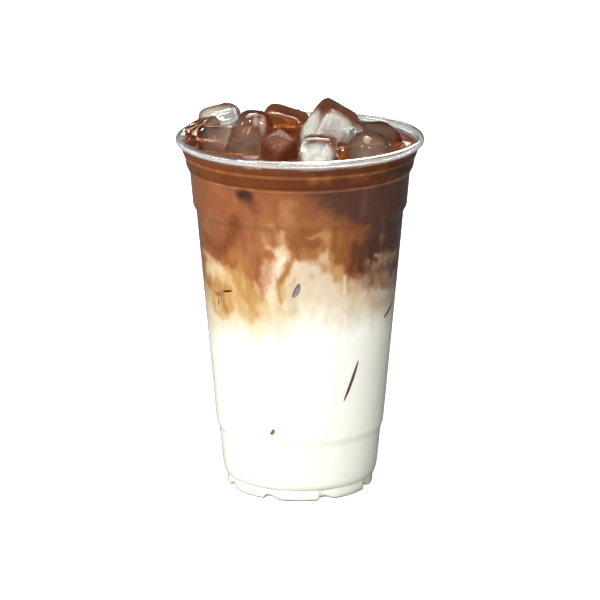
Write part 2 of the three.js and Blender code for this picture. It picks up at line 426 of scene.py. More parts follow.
# Ice
# at: centre; size: width, depth, height; turns: spin, lean to the right, top towards the front
iceCubes = {
    "ice_tall": {"at": (11.8, 3.5, 142.2), "size": (19, 19, 25.5), "turns": (12, 34, 4),
                 "square": 5, "taper": 0.02, "hollow": {"top": 0.08, "front": 0.14}},
    "ice_frosted": {"at": (-19.0, -3.5, 140.6), "size": (18.5, 17, 25), "turns": (10, 11, -6),
                    "square": 3.6, "taper": 0.24, "hollow": {"front": 0.05}},
    "ice_cloudy": {"at": (7.1, -24.5, 137.6), "size": (15, 15, 21), "turns": (-6, 3, -6),
                   "square": 5, "taper": 0.05, "hollow": {"front": 0.06}},
    "ice_dome": {"at": (26.8, -15.6, 136.4), "size": (18.5, 18.5, 21.5), "turns": (30, -4, -8),
                 "square": 2.6, "taper": 0.08, "hollow": {}},
    "ice_pointed": {"at": (-8.0, -20.5, 138.4), "size": (11.2, 11.2, 20.5), "turns": (45, 0, 34),
                    "square": 9, "taper": 0, "hollow": {}},
    "ice_left_flat": {"at": (-31.5, -1.5, 138.6), "size": (18, 15, 18), "turns": (-12, 2, -16),
                      "square": 5, "taper": 0.03, "hollow": {"front": 0.04, "top": 0.05}},
    "ice_back": {"at": (-7.0, 28.5, 137.2), "size": (20, 17, 20), "turns": (-6, 15, 6),
                 "square": 5, "taper": 0.03, "hollow": {"front": 0.08}},
    "ice_right": {"at": (30.2, 12.4, 135.2), "size": (17.5, 18, 19), "turns": (28, 7, 6),
                  "square": 4.5, "taper": 0.04, "hollow": {"top": 0.06}},
    "ice_back_left": {"at": (-31.4, 18.5, 142.9), "size": (17, 14, 17), "turns": (24, -10, 6),
                      "square": 3.6, "taper": 0.04, "hollow": {"front": 0.1, "top": 0.08}},
    "ice_left_bar": {"at": (-40, 7, 142.2), "size": (20, 9, 10), "turns": (44, -20, 0),
                     "square": 4, "taper": 0, "hollow": {"top": 0.08}},
    "ice_chip": {"at": (15.8, -25, 138.5), "size": (5.5, 7, 11), "turns": (12, 4, -6),
                 "square": 4, "taper": 0.1, "hollow": {}},
}
# ice takes up the coffee that it stands in
iceTints = {
    "clear": {"cubes": ("ice_tall", "ice_cloudy", "ice_back_left"),
              "tint": "#fbfdfd", "deepTint": "#eef3f3"},
    "brown": {"cubes": ("ice_frosted", "ice_left_flat", "ice_left_bar"),
              "tint": "#d2aa92", "deepTint": "#ac8068"},
    "dark": {"cubes": ("ice_dome", "ice_right"), "tint": "#d4b49c", "deepTint": "#b08c74"},
    "soft": {"cubes": ("ice_pointed",), "tint": "#8e5640", "deepTint": "#70402e",
             "gloss": 0.2, "through": 0.6, "bend": 1.12},
    "amber": {"cubes": ("ice_back", "ice_chip"), "tint": "#eeb270", "deepTint": "#c87638", "through": 0.97},
}
# veils of trapped air, and white patches painted as highlights and reflection: the middle of each in mm from
# the cube's own, its half sizes, and how white it is
frostAndHighlightSpots = {
    # on ice_tall the first spot is trapped air, the second a painted reflection of the white room on the
    # left face
    "ice_tall": [((2.2, -10.5, 4.4), (8.5, 7, 8.5), 0.75), ((-8.5, -3, 5), (5, 10, 12), 0.72)],
    "ice_cloudy": [((-0.6, -7.5, 3.0), (9.0, 7, 6.6), 1.0)],
    # on ice_frosted the first two spots are a painted wet highlight, the last its haze of trapped air
    "ice_frosted": [((4.6, -4.5, 8.4), (1.7, 4, 5.6), 0.5), ((2.0, -5, 9.6), (1.5, 4, 3.0), 0.45),
                    ((-2, -5, 2), (12, 12, 14), 0.07)],
    "ice_dome": [((0, -5, 3), (12, 12, 11), 0.11)],
    "ice_left_flat": [((1, -5, 5), (12, 12, 9), 0.07)],
    "ice_right": [((0, -3, 5), (12, 12, 9), 0.04)],
    "ice_back_left": [((-1, -4, 4), (11, 9, 6), 0.30)],
}
frostLooks = {
    "depths": (0.35, 1.3, 2.4),
    "air": "#f2efe6", "dampAir": "#c0b8ac",
    "Scale": 300.0, "thin": 0.25, "thick": 0.7, "leastShare": 0.45,
    "fade": (1.1, 0.1),     # share of a spot's half size over which its veil sets in
    "faintest": 0.01,
}
iceMaking = {
    "divisions": 36,
    "gap": 0.3,             # between cubes, as in the solids
    "grain": 0.42,          # size of the cells that the cut cubes are made even with
    "smoothing": 7,
    "meltSize": 7.0, "meltDepth": 0.32,
    "dentSize": 2.6, "dentDepth": 0.07,
    "hollowEdge": (0.3, 0.95),
    "uneven": 0.025, "unevenWaves": (2.3, 1.7, 1.9),
    "roomAbove": 40.0, "roomSegments": 96,
}
iceLooks = {
    "tint": "#fbfdfd", "deepTint": "#eef4f3", "shadow": "#f4f8f8",
    "Scale": 110.0, "Smooth": 0.01, "Dull": 0.07, "Fine Scale": 700.0,
    "relief": 0.12, "reliefStrength": 0.35, "bend": 1.31, "gloss": 0.5, "through": 1.0,
}


def cubeTurn(turns):
    spin, lean, tip = (math.radians(a) for a in turns)
    return Matrix.Rotation(tip, 3, "X") @ Matrix.Rotation(lean, 3, "Y") @ Matrix.Rotation(spin, 3, "Z")


def gridCube(divisions):
    # points and faces of a cube of side 2 with shared edges
    line = np.linspace(-1, 1, divisions + 1)
    u, v = (side.ravel() for side in np.meshgrid(line, line, indexing="ij"))
    sides, quads = [], []
    for axis in range(3):
        for sign in (-1, 1):
            side = np.zeros((len(u), 3))
            side[:, axis] = sign
            side[:, (axis + 1) % 3] = u
            side[:, (axis + 2) % 3] = v
            base = len(sides) * len(u)
            sides.append(side)
            for i in range(divisions):
                for j in range(divisions):
                    a = base + i * (divisions + 1) + j
                    quad = [a, a + divisions + 1, a + divisions + 2, a + 1]
                    quads.append(quad if sign > 0 else quad[::-1])
    merged, places = np.unique(np.round(np.concatenate(sides), 6), axis=0, return_inverse=True)
    places = places.ravel()
    return merged, [[int(places[v]) for v in quad] for quad in quads]


cubePoints, cubeFaces = gridCube(iceMaking["divisions"])
hollowAxes = {"top": (2, 1, 0, 1), "front": (1, -1, 0, 2)}


def meltedCube(name, cube, grow=0.0):
    p = cubePoints.copy()
    p *= (np.abs(p) ** cube["square"]).sum(1, keepdims=True) ** (-1 / cube["square"])
    for face, depth in cube["hollow"].items():
        axis, sign, across, along = hollowAxes[face]
        facing = smoothStep(*iceMaking["hollowEdge"], sign * p[:, axis])
        p[:, axis] -= sign * 2 * depth * facing * (1 - p[:, across] ** 2) * (1 - p[:, along] ** 2)
    start = cube["at"][0] * 0.7 + cube["at"][1] * 0.3      # so that no two cubes are uneven alike
    waveX, waveY, waveZ = (p * np.array(iceMaking["unevenWaves"])).T
    uneven = 1 + iceMaking["uneven"] * np.sin(waveX + start) * np.cos(waveZ - start) * np.cos(waveY)
    narrow = 1 - cube["taper"] * p[:, 2]
    half = np.array(cube["size"]) / 2 + grow
    p = p * half * uneven[:, None] * np.stack([narrow, narrow, np.ones(len(p))], -1)
    turn = np.array(cubeTurn(cube["turns"]))
    return makePiece(name, p @ turn.T + np.array(cube["at"]), cubeFaces)


def iceRoom():
    # the space inside the cup and above it that ice may fill
    lowest, neckHeight = cup["footTop"] + 1, cup["height"] - 2 * cup["curlRadius"]
    side = [tuple(p) for p in insetLine(fineWall, cup["wall"] + iceMaking["gap"]) if p[1] > lowest]
    neck = cup["rimRadius"] - 2 * cup["curlRadius"] - iceMaking["gap"]
    top = cup["height"] + iceMaking["roomAbove"]
    above = [(neck, neckHeight), (neck, top), (0, top)]
    return turnedPiece("iceRoom", [(0, side[0][1])] + side + above, iceMaking["roomSegments"])


# white veils in the ice: trapped air, and painted highlights and reflection where the spots are set for them
def frostAndHighlightMaterial():
    material = newMaterial("frost and painted highlights in ice")
    tree = material.node_tree
    place = addNode(tree, "ShaderNodeTexCoord")
    cloud = addNode(tree, "ShaderNodeTexNoise", Scale=frostLooks["Scale"], Detail=4.0, Roughness=0.6)
    link(tree, place.outputs["Object"], cloud.inputs["Vector"])
    spread = addNode(tree, "ShaderNodeMapRange", interpolation_type="SMOOTHSTEP")
    for key, value in (("From Min", "thin"), ("From Max", "thick"), ("To Min", "leastShare")):
        spread.inputs[key].default_value = frostLooks[value]
    link(tree, cloud.outputs["Fac"], spread.inputs["Value"])
    amount = addNode(tree, "ShaderNodeAttribute", attribute_name="frost")
    alpha = addNode(tree, "ShaderNodeMath", operation="MULTIPLY")
    link(tree, amount.outputs["Fac"], alpha.inputs[0])
    link(tree, spread.outputs["Result"], alpha.inputs[1])
    tone = addNode(tree, "ShaderNodeMix", data_type="RGBA")
    tone.inputs["A"].default_value = paint(frostLooks["dampAir"])
    tone.inputs["B"].default_value = paint(frostLooks["air"])
    link(tree, cloud.outputs["Fac"], tone.inputs["Factor"])
    body = addNode(tree, "ShaderNodeBsdfPrincipled", Roughness=0.7)
    link(tree, tone.outputs["Result"], body.inputs["Base Color"])
    link(tree, alpha.outputs[0], body.inputs["Alpha"])
    out = addNode(tree, "ShaderNodeOutputMaterial")
    link(tree, body.outputs[0], out.inputs["Surface"])
    return material


def makeFrostAndHighlights(ice):
    points, faces, amounts = [], [], []
    for name, spots in frostAndHighlightSpots.items():
        cube, middle = ice[name], np.array(iceCubes[name]["at"])
        at, normals = meshPoints(cube), meshNormals(cube)
        amount = np.zeros(len(at))
        for place, half, white in spots:
            off = np.linalg.norm((at - middle - np.array(place)) / np.array(half), axis=1)
            amount = np.maximum(amount, white * smoothStep(*frostLooks["fade"], off))
        used = amount > frostLooks["faintest"]
        quads = [f.vertices[:] for f in cube.data.polygons if all(used[v] for v in f.vertices)]
        kept = sorted({v for quad in quads for v in quad})
        number = {v: i for i, v in enumerate(kept)}
        for depth in frostLooks["depths"]:
            first = len(amounts)
            points += list(at[kept] - normals[kept] * depth)
            amounts += list(amount[kept])
            faces += [[first + number[v] for v in quad] for quad in quads]
    piece = makePiece("iceFrostAndHighlights", points, faces)
    layer = piece.data.attributes.new("frost", "FLOAT", "POINT")
    layer.data.foreach_set("value", np.array(amounts, np.float32))
    smoothPiece(piece)
    dress(piece, frostAndHighlightMaterial())
    print("frost made:", len(faces), "faces")
    return finishPiece(piece, "ice")


def makeIce():
    materials = {}
    for name, looks in iceTints.items():
        material = glassMaterial("wet ice " + name, {**iceLooks, **looks})
        materials.update({cube: material for cube in looks["cubes"]})
    room = iceRoom()
    grown, made = [], {}
    for seed, (name, cube) in enumerate(iceCubes.items()):
        piece = meltedCube("wet_" + name, cube)
        joinOrCut(piece, room, "INTERSECT")
        for other in grown:
            joinOrCut(piece, other, "DIFFERENCE")
        grown.append(meltedCube("grown", cube, iceMaking["gap"]))
        even = piece.modifiers.new("even", "REMESH")
        even.mode = "VOXEL"
        even.voxel_size = iceMaking["grain"] * mm
        soft = piece.modifiers.new("soft", "SMOOTH")
        soft.factor = 0.5
        soft.iterations = iceMaking["smoothing"]
        applied(piece)
        points = meshPoints(piece)
        melt = iceMaking["meltDepth"] * fractalAt(points / iceMaking["meltSize"], seed * 5 + 3, 2)
        melt += iceMaking["dentDepth"] * fractalAt(points / iceMaking["dentSize"], seed * 5 + 90, 2)
        movePoints(piece, points + meshNormals(piece) * (melt - iceMaking["meltDepth"] * 0.5)[:, None])
        smoothPiece(piece)
        dress(piece, materials[name])
        made[name] = finishPiece(piece, "ice", name)
    discard(room)
    for other in grown:
        discard(other)
    print("ice made:", len(made), "cubes,", sum(len(p.data.vertices) for p in made.values()), "points")
    return made


# Drink
drink = {
    "level": 137.6,
    "intoWall": 0.18,       # how far the drink reaches into the plastic, so that no air gap shows
    "intoIce": 0.2,
    "segments": 400,
    "rowStep": 0.65,        # row height where the swirls show
    "plainStep": 1.6,       # row height in the plain milk
    "plainBelow": 58.0,
    "leastRow": 0.12,
    "topStep": 0.85,
    "edgeRings": (0.3, 0.6),
    "wallClimb": 1.1,
    "iceClimb": 0.5,
    "climbWidth": 1.1,
    "openDepth": 15.0,      # mm under the level down to which faces round the ice lie open
    "openIn": 0.25,         # and mm in from the wall from which they do
    "hollowDrop": 0.2,      # mm under the level from which a bare face belongs to a hollow
    "hollowSlope": 0.3,     # as does one that faces less upwards than this
    "openFrom": (0.1, 0.9),             # mm in from the wall over which the open tones set in
    "swirlSize": (9, 9, 30), "swirlBend": 0.8,
    "openTones": (0.14, 0.20, 0.1),     # how milky and amber the open surface is, and how dark with painted shade between the ice
    "openSwirl": (0.16, 0.25, 0.0),     # and how far swirls change that
    "deepTones": (0.20, 0.0, 0.15),     # the same for the hollows round the ice, whose dark share is painted shade deeper down
    "deepFrom": (0.2, 4.5),             # mm under the level over which the one turns to the other
    "sharpFrom": 60,
}
# ice that is wholly sunk and shows at the wall: its ends as (degrees, mm), its size in mm, and how milky,
# amber and dark the drink behind it is; the dark is painted shade in the hollow behind the ice
slivers = {
    "sliverRight": {"ends": ((29.6, 42.0), (39.4, 58.5)), "halfWidth": 0.7, "depth": 1.2,
                    "behind": (0.36, 0.2, 0.6)},
    "sliverFarRight": {"ends": ((61.6, 72.8), (75.5, 77.8)), "halfWidth": 0.7, "depth": 1.4,
                       "behind": (0.08, 0.2, 0.6)},
    "sliverLow": {"ends": ((-20.3, 28.9), (-17.6, 31.3)), "halfWidth": 0.7, "depth": 1.0,
                  "behind": (0.5, 0.5, 0.3)},
    "sliverMiddle": {"ends": ((-4.0, 87.0), (-0.6, 92.4)), "halfWidth": 1.0, "depth": 1.8,
                     "behind": (0.88, 0.0, 0.1)},
    "sliverLeft": {"ends": ((-52, 85.4), (-43, 86.8)), "halfWidth": 0.4, "depth": 0.8,
                   "behind": (0.1, 0.7, 0.4)},
    "sliverLeftSmall": {"ends": ((-57.4, 78.6), (-56.8, 81.6)), "halfWidth": 0.35, "depth": 0.7,
                        "behind": (0.2, 0.8, 0.3)},
}
sliverMaking = {"bow": 0.35, "toneReach": 2.0, "toneEdge": (-0.12, 0.05)}
sunkenLooks = {"bend": 1.03, "gloss": 0.0, "tint": "#f2f0fa", "deepTint": "#d8d4ea"}
violetLooks = {**sunkenLooks, "slivers": ("sliverMiddle",), "tint": "#8280c0", "deepTint": "#504e8c"}
# by degrees from the front: the height in mm where coffee starts to thin, and where it is nearly milk
coffeeFeet = [
    (-180, 96), (-150, 104), (-125, 92), (-100, 95), (-75, 98), (-60, 96), (-45, 94), (-25, 95), (-14, 101),
    (-5, 108), (5, 106), (13, 110), (19, 106), (26, 101), (36, 99), (46, 98), (60, 98), (75, 96), (100, 96),
    (128, 105), (155, 92), (180, 96),
]
milkTops = [
    (-180, 76), (-150, 82), (-125, 70), (-100, 72), (-75, 70), (-60, 72), (-45, 72), (-25, 73), (-12, 75),
    (0, 82), (10, 84), (20, 80), (32, 80), (46, 80), (60, 77), (75, 73), (100, 75), (128, 84), (155, 72),
    (180, 76),
]
# by height in mm: the angle in degrees from which painted shade darkens the coffee towards the right, away
# from the key light
paintedShadeEdges = [
    (84, 48), (92, 38), (100, 36), (108, 37), (114, 33), (118, 23), (122, 15), (126, 8), (130, 2), (137, -2),
]
# each swirl: route of (degrees, mm), half width, softness, then how milky, amber, dark with painted shade,
# and strong
swirls = {
    "leftHaze": ([(-84, 112), (-66, 114)], 4, 5, 0.36, 0.1, 0.1, 0.7),
    "upperShade": ([(-31, 127.4), (-27.5, 126.6)], 2.0, 1.3, 0.08, 0.0, 1.0, 0.95),
    "upperShadeTail": ([(-29, 125), (-25, 123)], 1.6, 2.6, 0.22, 0.0, 0.6, 0.6),
    "upperVeil": ([(-7, 124), (-6, 117), (-9, 110)], 1.6, 3.0, 0.46, 0.1, 0.0, 0.9),
    "upperVeilTwo": ([(-18, 116), (-24, 112), (-22, 106)], 3.0, 3.5, 0.42, 0.3, 0.0, 0.6),
    "browTrail": ([(-62, 114), (-50, 115.5), (-42, 115)], 0.6, 1.0, 0.42, 0.1, 0.0, 0.6),
    "leftWedge": ([(-68, 106), (-60, 104), (-52, 101)], 1.8, 2.2, 0.22, 0.2, 0.0, 0.9),
    "leftWedgeSide": ([(-37, 117), (-40, 110), (-46, 104), (-50, 101.5)], 2.4, 1.6, 0.22, 0.3, 0.0, 1),
    "leftBlush": ([(-72, 98), (-64, 97), (-56, 96)], 1.6, 2.0, 0.62, 0.2, 0.0, 0.9),
    "leftCream": ([(-66, 93), (-56, 93), (-46, 91.5), (-42, 90)], 3.6, 2.4, 0.70, 0.85, 0.0, 1),
    "leftCreamTop": ([(-58, 95), (-52, 94)], 0.9, 1.4, 0.74, 0.2, 0.0, 0.9),
    "leftLine": ([(-71, 86.5), (-64, 84.5), (-58, 83.5), (-50, 84.5)], 0.7, 0.8, 0.40, 0.9, 0.2, 0.9),
    "amberPocket": ([(-64, 83), (-62, 77)], 2.0, 1.8, 0.62, 0.95, 0.0, 0.9),
    "amberPocketCore": ([(-52, 81.5), (-50, 78)], 2.4, 1.4, 0.50, 1.0, 0.0, 1),
    "amberPocketSide": ([(-57, 80), (-54.5, 77)], 1.3, 1.5, 0.62, 0.95, 0.0, 0.8),
    "amberPocketFoot": ([(-60, 76), (-50, 75)], 1.2, 1.6, 0.68, 0.9, 0.0, 0.9),
    "paleGap": ([(-41.5, 84), (-41, 78), (-41.5, 74)], 0.6, 1.2, 0.82, 0.5, 0.0, 0.85),
    "leftPocket": ([(-47, 86.5), (-46.5, 80)], 1.3, 1.2, 0.54, 0.9, 0.0, 0.85),
    "columnGlow": ([(-26, 91), (-24.5, 85)], 1.0, 1.6, 0.72, 0.6, 0.0, 0.8),
    "leftBrown": ([(-40, 102), (-34, 99), (-28, 98)], 3.4, 3, 0.42, 0.45, 0.0, 0.9),
    "leftBrownEdge": ([(-46, 100), (-42, 97)], 1.4, 1.6, 0.32, 0.4, 0.0, 0.9),
    "midBrown": ([(-26, 101), (-23, 97), (-21, 94)], 2.4, 2.4, 0.34, 0.25, 0.0, 0.9),
    "amberColumn": ([(-38, 93), (-34, 89), (-30, 85), (-27, 80)], 4.0, 2.6, 0.56, 1.0, 0.0, 1),
    "amberColumnLow": ([(-42, 85), (-36, 80), (-31, 77)], 3.0, 2.4, 0.66, 0.95, 0.0, 0.9),
    "fingerTip": ([(-10.5, 113.5), (-10, 110), (-11, 107)], 0.7, 1.4, 0.62, 0.5, 0.0, 0.9),
    "fingerHook": ([(-16.8, 107), (-15, 105.5), (-12, 106)], 0.6, 1.2, 0.66, 0.1, 0.1, 0.9),
    "fingerVeil": ([(-15, 112), (-12, 107), (-10, 101), (-14, 96)], 2.6, 3.2, 0.58, 0.0, 0.1, 0.8),
    "fingerShoulder": ([(-7.5, 105), (-3.5, 101)], 1.5, 2.0, 0.76, 0.15, 0.0, 0.9),
    "finger": ([(-12, 106), (-11, 102), (-12.5, 98), (-15, 95), (-16.5, 91), (-16.5, 86)],
               1.4, 2.0, 0.78, 0.1, 0.05, 0.9),
    "fingerMauve": ([(-19.5, 101), (-20, 95), (-20.5, 89)], 1.0, 1.8, 0.60, 0.0, 0.15, 0.85),
    "fingerCore": ([(-9, 102.5), (-10.5, 99), (-13, 95)], 0.7, 1.2, 0.87, 0.0, 0.0, 0.9),
    "fingerLow": ([(-17, 87), (-15.5, 81), (-16.5, 77)], 1.1, 1.8, 0.79, 0.55, 0.0, 0.85),
    "milkDrip": ([(-15.5, 76), (-15, 71), (-14, 66)], 0.8, 1.6, 0.86, 0.7, 0.0, 0.8),
    "lowAmber": ([(-24, 82), (-15, 79), (-6, 80)], 1.6, 2.4, 0.76, 0.7, 0.0, 0.7),
    "streak": ([(-3.5, 104), (-5.5, 100), (-8.5, 96), (-11.5, 92.5)], 0.75, 0.9, 0.42, 0.7, 0.0, 1),
    "streakLow": ([(-11.5, 92.5), (-12, 88), (-11, 84)], 0.7, 0.9, 0.52, 0.8, 0.0, 0.9),
    "streakGlow": ([(-6, 94), (-8.5, 88)], 1.0, 1.2, 0.74, 0.7, 0.0, 0.9),
    "streakWhite": ([(-3.5, 97), (-5.0, 93.5)], 0.7, 1.2, 0.80, 0.0, 0.2, 0.8),
    "streakPatch": ([(-9.6, 91), (-9.2, 86)], 1.0, 0.9, 0.66, 0.8, 0.0, 0.85),
    "markShade": ([(-4.5, 91), (-4.5, 81)], 1.2, 1.8, 0.72, 0.1, 0.45, 0.8),
    "lowTrail": ([(-12, 82), (-9.5, 80)], 0.6, 1.0, 0.70, 0.6, 0.0, 0.7),
    "pinkTrail": ([(-22, 77.5), (-17, 76.5)], 0.8, 1.5, 0.80, 0.2, 0.0, 0.7),
    "midBand": ([(-8, 117), (4, 116), (12, 114.5)], 1.6, 2.4, 0.40, 0.2, 0.0, 0.7),
    "midBandPale": ([(-16, 113), (-14, 108)], 0.9, 1.8, 0.30, 0.3, 0.0, 0.6),
    "midBandDark": ([(-4, 111), (4, 109.5), (10, 109)], 1.8, 1.8, 0.33, 0.35, 0.0, 0.9),
    "midBandLight": ([(3.5, 111.3), (6.5, 110.8), (9.8, 112)], 0.45, 0.7, 0.50, 0.3, 0.0, 0.8),
    "midGlow": ([(1, 105.5), (8, 105)], 1.4, 1.6, 0.44, 0.3, 0.0, 0.8),
    "milkCloud": ([(1, 99), (8, 99), (13, 97), (16, 91)], 3.2, 3.0, 0.80, 0.0, 0.15, 0.9),
    "milkCloudCore": ([(4, 92), (10, 91)], 3.6, 3.0, 0.84, 0.0, 0.1, 0.8),
    "cloudBlush": ([(14.5, 96), (15.5, 92)], 1.4, 1.8, 0.71, 0.1, 0.1, 0.7),
    "tongue": ([(13.5, 112), (14.5, 107), (13.5, 102), (14, 98)], 1.4, 2.2, 0.52, 0.5, 0.0, 0.9),
    "tongueCore": ([(14.8, 106), (13.6, 102)], 0.5, 1.2, 0.68, 0.4, 0.0, 0.6),
    "tongueFoot": ([(12.5, 103), (17, 100)], 1.1, 1.8, 0.68, 0.2, 0.0, 0.85),
    "tongueEdge": ([(18, 104), (18.5, 98), (20, 93)], 0.5, 0.8, 0.56, 0.8, 0.0, 0.8),
    "rightAmber": ([(22, 112), (22, 106), (21, 101)], 2.0, 1.8, 0.36, 0.8, 0.0, 1),
    "rightAmberLow": ([(22, 98), (22.5, 94)], 1.6, 1.6, 0.58, 0.9, 0.0, 0.9),
    "rightAmberRim": ([(28, 114), (36, 113), (41, 114)], 0.9, 1.2, 0.34, 0.6, 0.2, 0.8),
    "palerThread": ([(26, 95), (27, 90.5), (26.5, 87)], 0.5, 0.9, 0.84, 0.5, 0.0, 0.9),
    "darkColumn": ([(32, 107), (31, 102), (30.5, 97)], 1.6, 1.6, 0.22, 0.3, 0.55, 1),
    "darkColumnSide": ([(36.5, 106), (36, 99), (36.5, 95)], 1.6, 1.4, 0.20, 0.0, 0.8, 1),
    "darkFoot": ([(32, 94.5), (37, 94)], 1.0, 1.2, 0.36, 0.2, 0.25, 0.9),
    "footTan": ([(30, 91), (38, 89)], 1.4, 1.8, 0.70, 0.5, 0.4, 0.8),
    "whiteThread": ([(41.5, 99.5), (43, 97), (41.5, 94), (40, 92)], 0.45, 0.7, 0.64, 0.3, 0.2, 0.9),
    "threadGlow": ([(40, 99), (41, 95)], 0.8, 1.2, 0.42, 0.2, 0.5, 0.7),
    "duskColumn": ([(45, 106), (46, 99), (44, 95)], 1.9, 1.8, 0.18, 0.1, 1.0, 1),
    "whiteFleck": ([(47.5, 101), (50, 100), (53, 99.5)], 0.7, 1.0, 0.62, 0.0, 0.7, 0.95),
    "fleckTail": ([(52, 108), (53, 103), (51, 97)], 0.7, 1.2, 0.44, 0.1, 0.8, 0.8),
    "fleckTailTwo": ([(56, 106), (58, 100), (56, 95)], 0.6, 1.0, 0.42, 0.1, 0.8, 0.7),
    "rightDusk": ([(56, 103), (62, 105), (66, 102)], 1.8, 2.2, 0.24, 0.1, 1.0, 0.8),
    "rightDuskTop": ([(62, 112), (68, 104)], 3, 4, 0.22, 0.0, 1.0, 0.8),
    "rightVeil": ([(46, 96), (56, 98), (70, 98)], 2.4, 2.6, 0.60, 0.1, 0.7, 0.75),
    "rightMauve": ([(40, 91), (54, 90), (70, 86)], 3.0, 3, 0.55, 0.1, 0.6, 0.9),
    "rightBrown": ([(53, 90.5), (58, 87)], 1.4, 1.8, 0.46, 0.35, 0.6, 0.75),
    "rightMauveLow": ([(44, 83), (56, 81), (72, 80)], 2.2, 3, 0.70, 0.15, 0.45, 0.8),
    "rightShoulder": ([(50, 136), (62, 134.5), (74, 134)], 2.0, 2.0, 0.04, 0.1, 0.9, 0.8),
    "rightEdge": ([(76, 136), (77, 126), (78, 112)], 3.0, 3.0, 0.04, 0.0, 1.0, 0.85),
    "creamDusk": ([(45, 94.5), (46, 90)], 1.8, 1.6, 0.44, 0.2, 0.7, 0.9),
    "backVeil": ([(168, 118), (176, 111), (172, 104)], 2.4, 3.4, 0.46, 0.2, 0.0, 0.8),
    "backFinger": ([(158, 113), (155, 106), (157, 98), (152, 91)], 1.5, 1.8, 0.78, 0.2, 0.0, 0.95),
    "backFingerTwo": ([(149, 108), (151, 101), (147, 95)], 0.8, 1.4, 0.66, 0.3, 0.0, 0.9),
    "backStreak": ([(163, 105), (161, 98), (158, 91), (156, 85)], 0.9, 1.2, 0.40, 0.8, 0.0, 0.95),
    "backAmber": ([(138, 106), (135, 99), (137, 91), (133, 85)], 3.0, 2.6, 0.54, 0.95, 0.0, 0.95),
    "backThread": ([(129, 112), (131, 105), (128, 99)], 0.6, 0.9, 0.70, 0.3, 0.0, 0.9),
    "backDusk": ([(112, 108), (116, 101), (113, 95)], 2.2, 2.0, 0.26, 0.2, 0.5, 0.9),
    "backCloud": ([(120, 97), (108, 95), (98, 92)], 2.4, 2.8, 0.76, 0.1, 0.1, 0.8),
    "sideThread": ([(92, 106), (95, 100), (91, 94)], 0.6, 1.0, 0.66, 0.2, 0.3, 0.9),
    "sideDusk": ([(86, 104), (83, 98)], 2.4, 2.6, 0.24, 0.1, 0.6, 0.8),
    "farVeil": ([(-172, 115), (-166, 108), (-168, 100)], 2.2, 2.8, 0.52, 0.2, 0.0, 0.8),
    "farFinger": ([(-160, 106), (-157, 99), (-160, 92), (-156, 86)], 1.3, 1.6, 0.80, 0.2, 0.0, 0.95),
    "farAmber": ([(-147, 104), (-144, 96), (-147, 88)], 3.0, 2.6, 0.56, 0.95, 0.0, 0.95),
    "farBrown": ([(-133, 101), (-130, 95), (-134, 89)], 2.0, 2.0, 0.36, 0.5, 0.0, 0.9),
    "leftTongue": ([(-119, 108), (-122, 101), (-118, 94)], 1.5, 1.8, 0.66, 0.5, 0.0, 0.95),
    "leftStreak": ([(-108, 103), (-105, 96), (-109, 88)], 1.1, 1.4, 0.42, 0.8, 0.0, 0.9),
    "leftCloud": ([(-97, 95), (-90, 92), (-84, 94)], 2.6, 2.4, 0.74, 0.5, 0.0, 0.9),
    # the shoulder glows are painted reflections in the plastic's shoulder band
    "shoulderGlow": ([(6, 135), (14, 135)], 0.8, 2.6, 0.40, 1.0, 0.0, 0.6),
    "shoulderGlowRight": ([(27, 134), (35, 134)], 0.6, 2.2, 0.36, 0.8, 0.1, 0.4),
}
# size in mm across, deep and high, shift, seed and number of octaves
noises = {
    "broad": ((13, 13, 18), 0, 3, 3),
    "lift": ((13, 13, 18), 40, 9, 3),
    "fine": ((4.2, 4.2, 8), 7, 21, 3),
    "rise": ((4.2, 4.2, 8), 90, 33, 3),
    "fingers": ((6, 6, 24), 0, 57, 2),
    "grain": ((2.4, 2.4, 5.5), 0, 77, 3),
    "ragged": ((3.2, 3.2, 4.6), 300, 111, 3),
    "drift": ((14, 14, 14), 0, 61, 3),
}
mixing = {
    "degreeWidth": 0.70,                # mm of wall for each degree
    "broadPush": 0.8, "finePush": 1.3,  # mm that noise shifts the swirls round the wall
    "liftPush": 0.9, "risePush": 0.8,   # and upwards
    "fingerHeight": 5.0,
    "ragged": 0.95,
    "grain": 0.09, "grainFine": 0.6, "grainHeight": 92, "grainReach": 20,
    "coffeeTone": 0.34, "creamTone": 0.86, "toneDrift": 0.07, "fineDrift": 0.5,
    "milkFrom": (0.9, 1.6),             # how far down the blend it turns to plain milk
    "amberAt": 0.5, "amberReach": 0.5, "amberShare": 0.25, "litAmberShare": 0.5,
    "litAmberSpan": ((0, -22), (-110, -70)),       # degrees over which the painted glow of amber on the lit left sets in
    # painted shade towards the right: how soft and ragged its edge is, and the degrees round the back over
    # which it fades
    "darkSoft": 9, "darkRagged": 8, "darkEnds": (170, 120),
    # painted shade above the low shoulder: where it sets in, how soft, and how it shifts milky, amber and
    # dark
    "shoulderHeight": 129.9, "shoulderSoft": 0.3,
    "shoulderTone": -0.19, "shoulderAmber": 0.55, "shoulderDark": -0.55,
    # painted highlight lines where the plastic's shoulders catch light
    "cornerHeights": (129.9, 135.7), "cornerWide": 0.36, "cornerHighlightTones": (0.68, 0.1, 0.0),
    "cornerShare": 0.8, "cornerPatchy": 0.5,
    "whiteBelow": 66.0, "whiteSoft": 6.0,
}


def noiseOf(name, points):
    size, shift, seed, octaves = noises[name]
    return fractalAt(points / np.array(size) + shift, seed, octaves)


def strokeDistance(across, height, route):
    best = np.full(len(across), 1e9)
    ends = [(a * mixing["degreeWidth"], z) for a, z in route]
    for (x0, z0), (x1, z1) in zip(ends, ends[1:]):
        dx, dz = x1 - x0, z1 - z0
        t = np.clip(((across - x0) * dx + (height - z0) * dz) / (dx * dx + dz * dz), 0, 1)
        best = np.minimum(best, np.hypot(across - x0 - t * dx, height - z0 - t * dz))
    return best


def between(value, pairs):
    return np.interp(value, *np.array(pairs, float).T)


